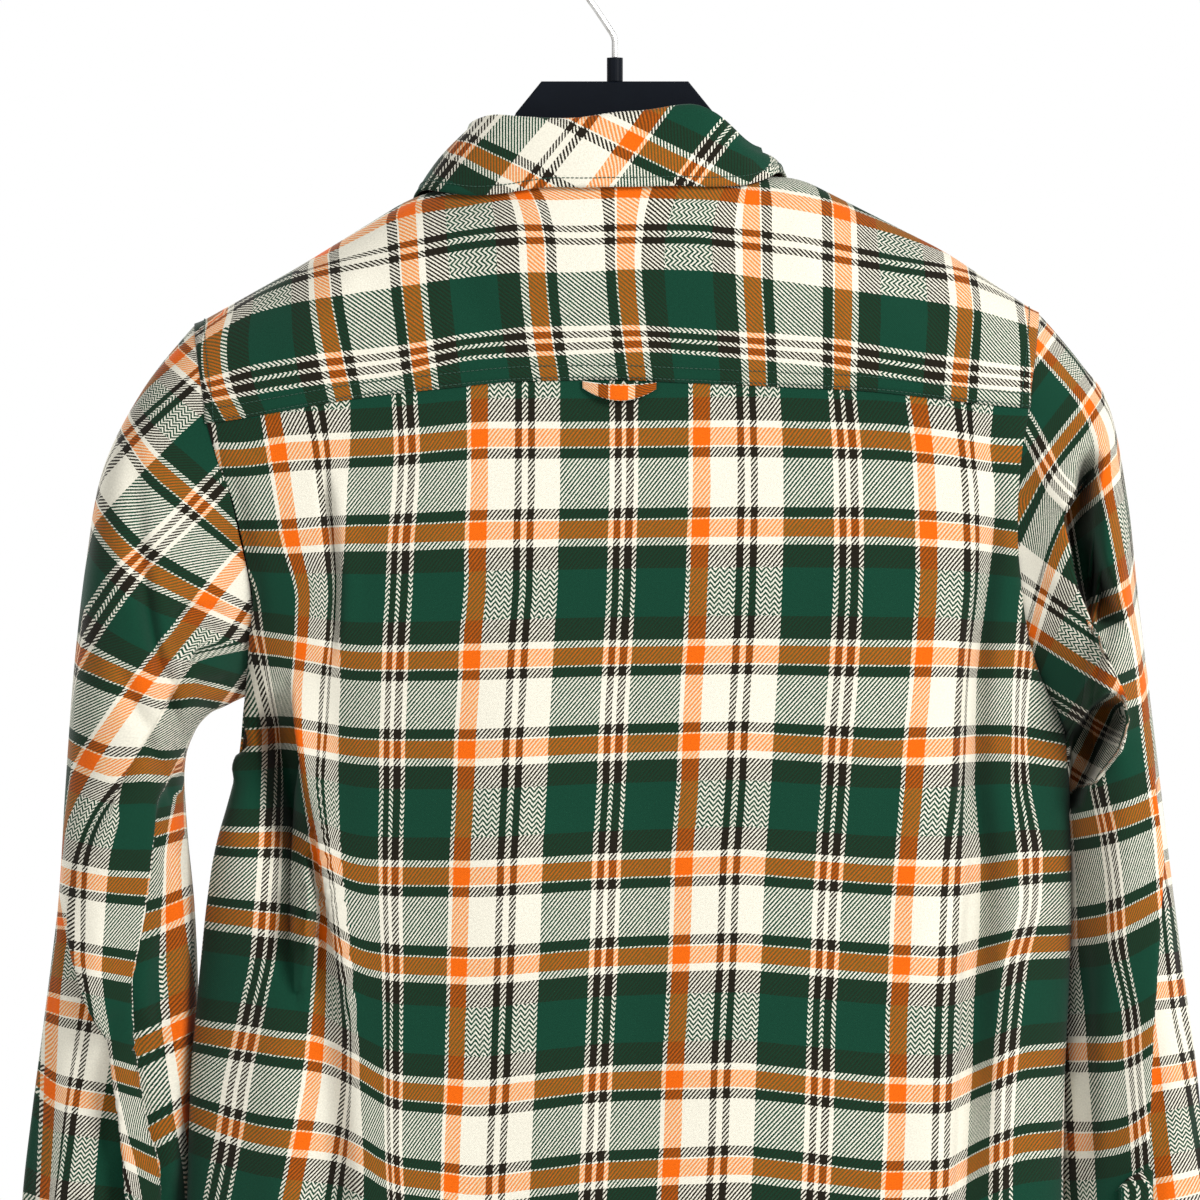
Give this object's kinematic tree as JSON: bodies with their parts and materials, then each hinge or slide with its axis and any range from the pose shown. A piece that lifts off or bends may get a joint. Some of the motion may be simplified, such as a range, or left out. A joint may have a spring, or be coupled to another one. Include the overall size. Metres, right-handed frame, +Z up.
{
  "type": "flannel shirt on a hanger",
  "caption": "Long-sleeved checked flannel shirt with a yoke, turned-down collar and locker loop, buttoned and hung on a plastic hanger with a steel hook.",
  "frame": {"origin": "inner top of the hook, where a rail bears", "axes": "+Z up, -Y towards the shirt's front, +X towards the wearer's left"},
  "size_m": [0.6974, 0.1338, 0.9085],
  "materials": {
    "back": "brushed cotton flannel, woven check",
    "yoke": "brushed cotton flannel, woven check",
    "front_left": "brushed cotton flannel, woven check",
    "front_right": "brushed cotton flannel, woven check",
    "front_placket": "brushed cotton flannel, woven check",
    "collar_leaf": "brushed cotton flannel, woven check",
    "collar_stand": "brushed cotton flannel, woven check",
    "locker_loop": "brushed cotton flannel, woven check",
    "sleeve_left": "brushed cotton flannel, woven check",
    "sleeve_right": "brushed cotton flannel, woven check",
    "cuff_left": "brushed cotton flannel, woven check",
    "cuff_right": "brushed cotton flannel, woven check",
    "sleeve_placket_left": "brushed cotton flannel, woven check",
    "sleeve_placket_right": "brushed cotton flannel, woven check",
    "collar_button": "four-hole shirt button",
    "front_button_1": "four-hole shirt button",
    "front_button_2": "four-hole shirt button",
    "front_button_3": "four-hole shirt button",
    "front_button_4": "four-hole shirt button",
    "front_button_5": "four-hole shirt button",
    "front_button_6": "four-hole shirt button",
    "front_button_7": "four-hole shirt button",
    "cuff_button_left": "four-hole shirt button",
    "cuff_button_right": "four-hole shirt button",
    "hanger": "moulded",
    "hanger_boss": "moulded",
    "hook": "plated wire"
  },
  "bodies": {
    "root": {"back": "back", "yoke": "yoke", "front_left": "front_left", "front_right": "front_right", "front_placket": "front_placket", "collar_leaf": "collar_leaf", "collar_stand": "collar_stand", "locker_loop": "locker_loop", "sleeve_left": "sleeve_left", "sleeve_right": "sleeve_right", "cuff_left": "cuff_left", "cuff_right": "cuff_right", "sleeve_placket_left": "sleeve_placket_left", "sleeve_placket_right": "sleeve_placket_right", "collar_button": "collar_button", "front_button_1": "front_button_1", "front_button_2": "front_button_2", "front_button_3": "front_button_3", "front_button_4": "front_button_4", "front_button_5": "front_button_5", "front_button_6": "front_button_6", "front_button_7": "front_button_7", "cuff_button_left": "cuff_button_left", "cuff_button_right": "cuff_button_right", "hanger": "hanger", "hanger_boss": "hanger_boss", "hook": "hook"}
  },
  "joints": []
}
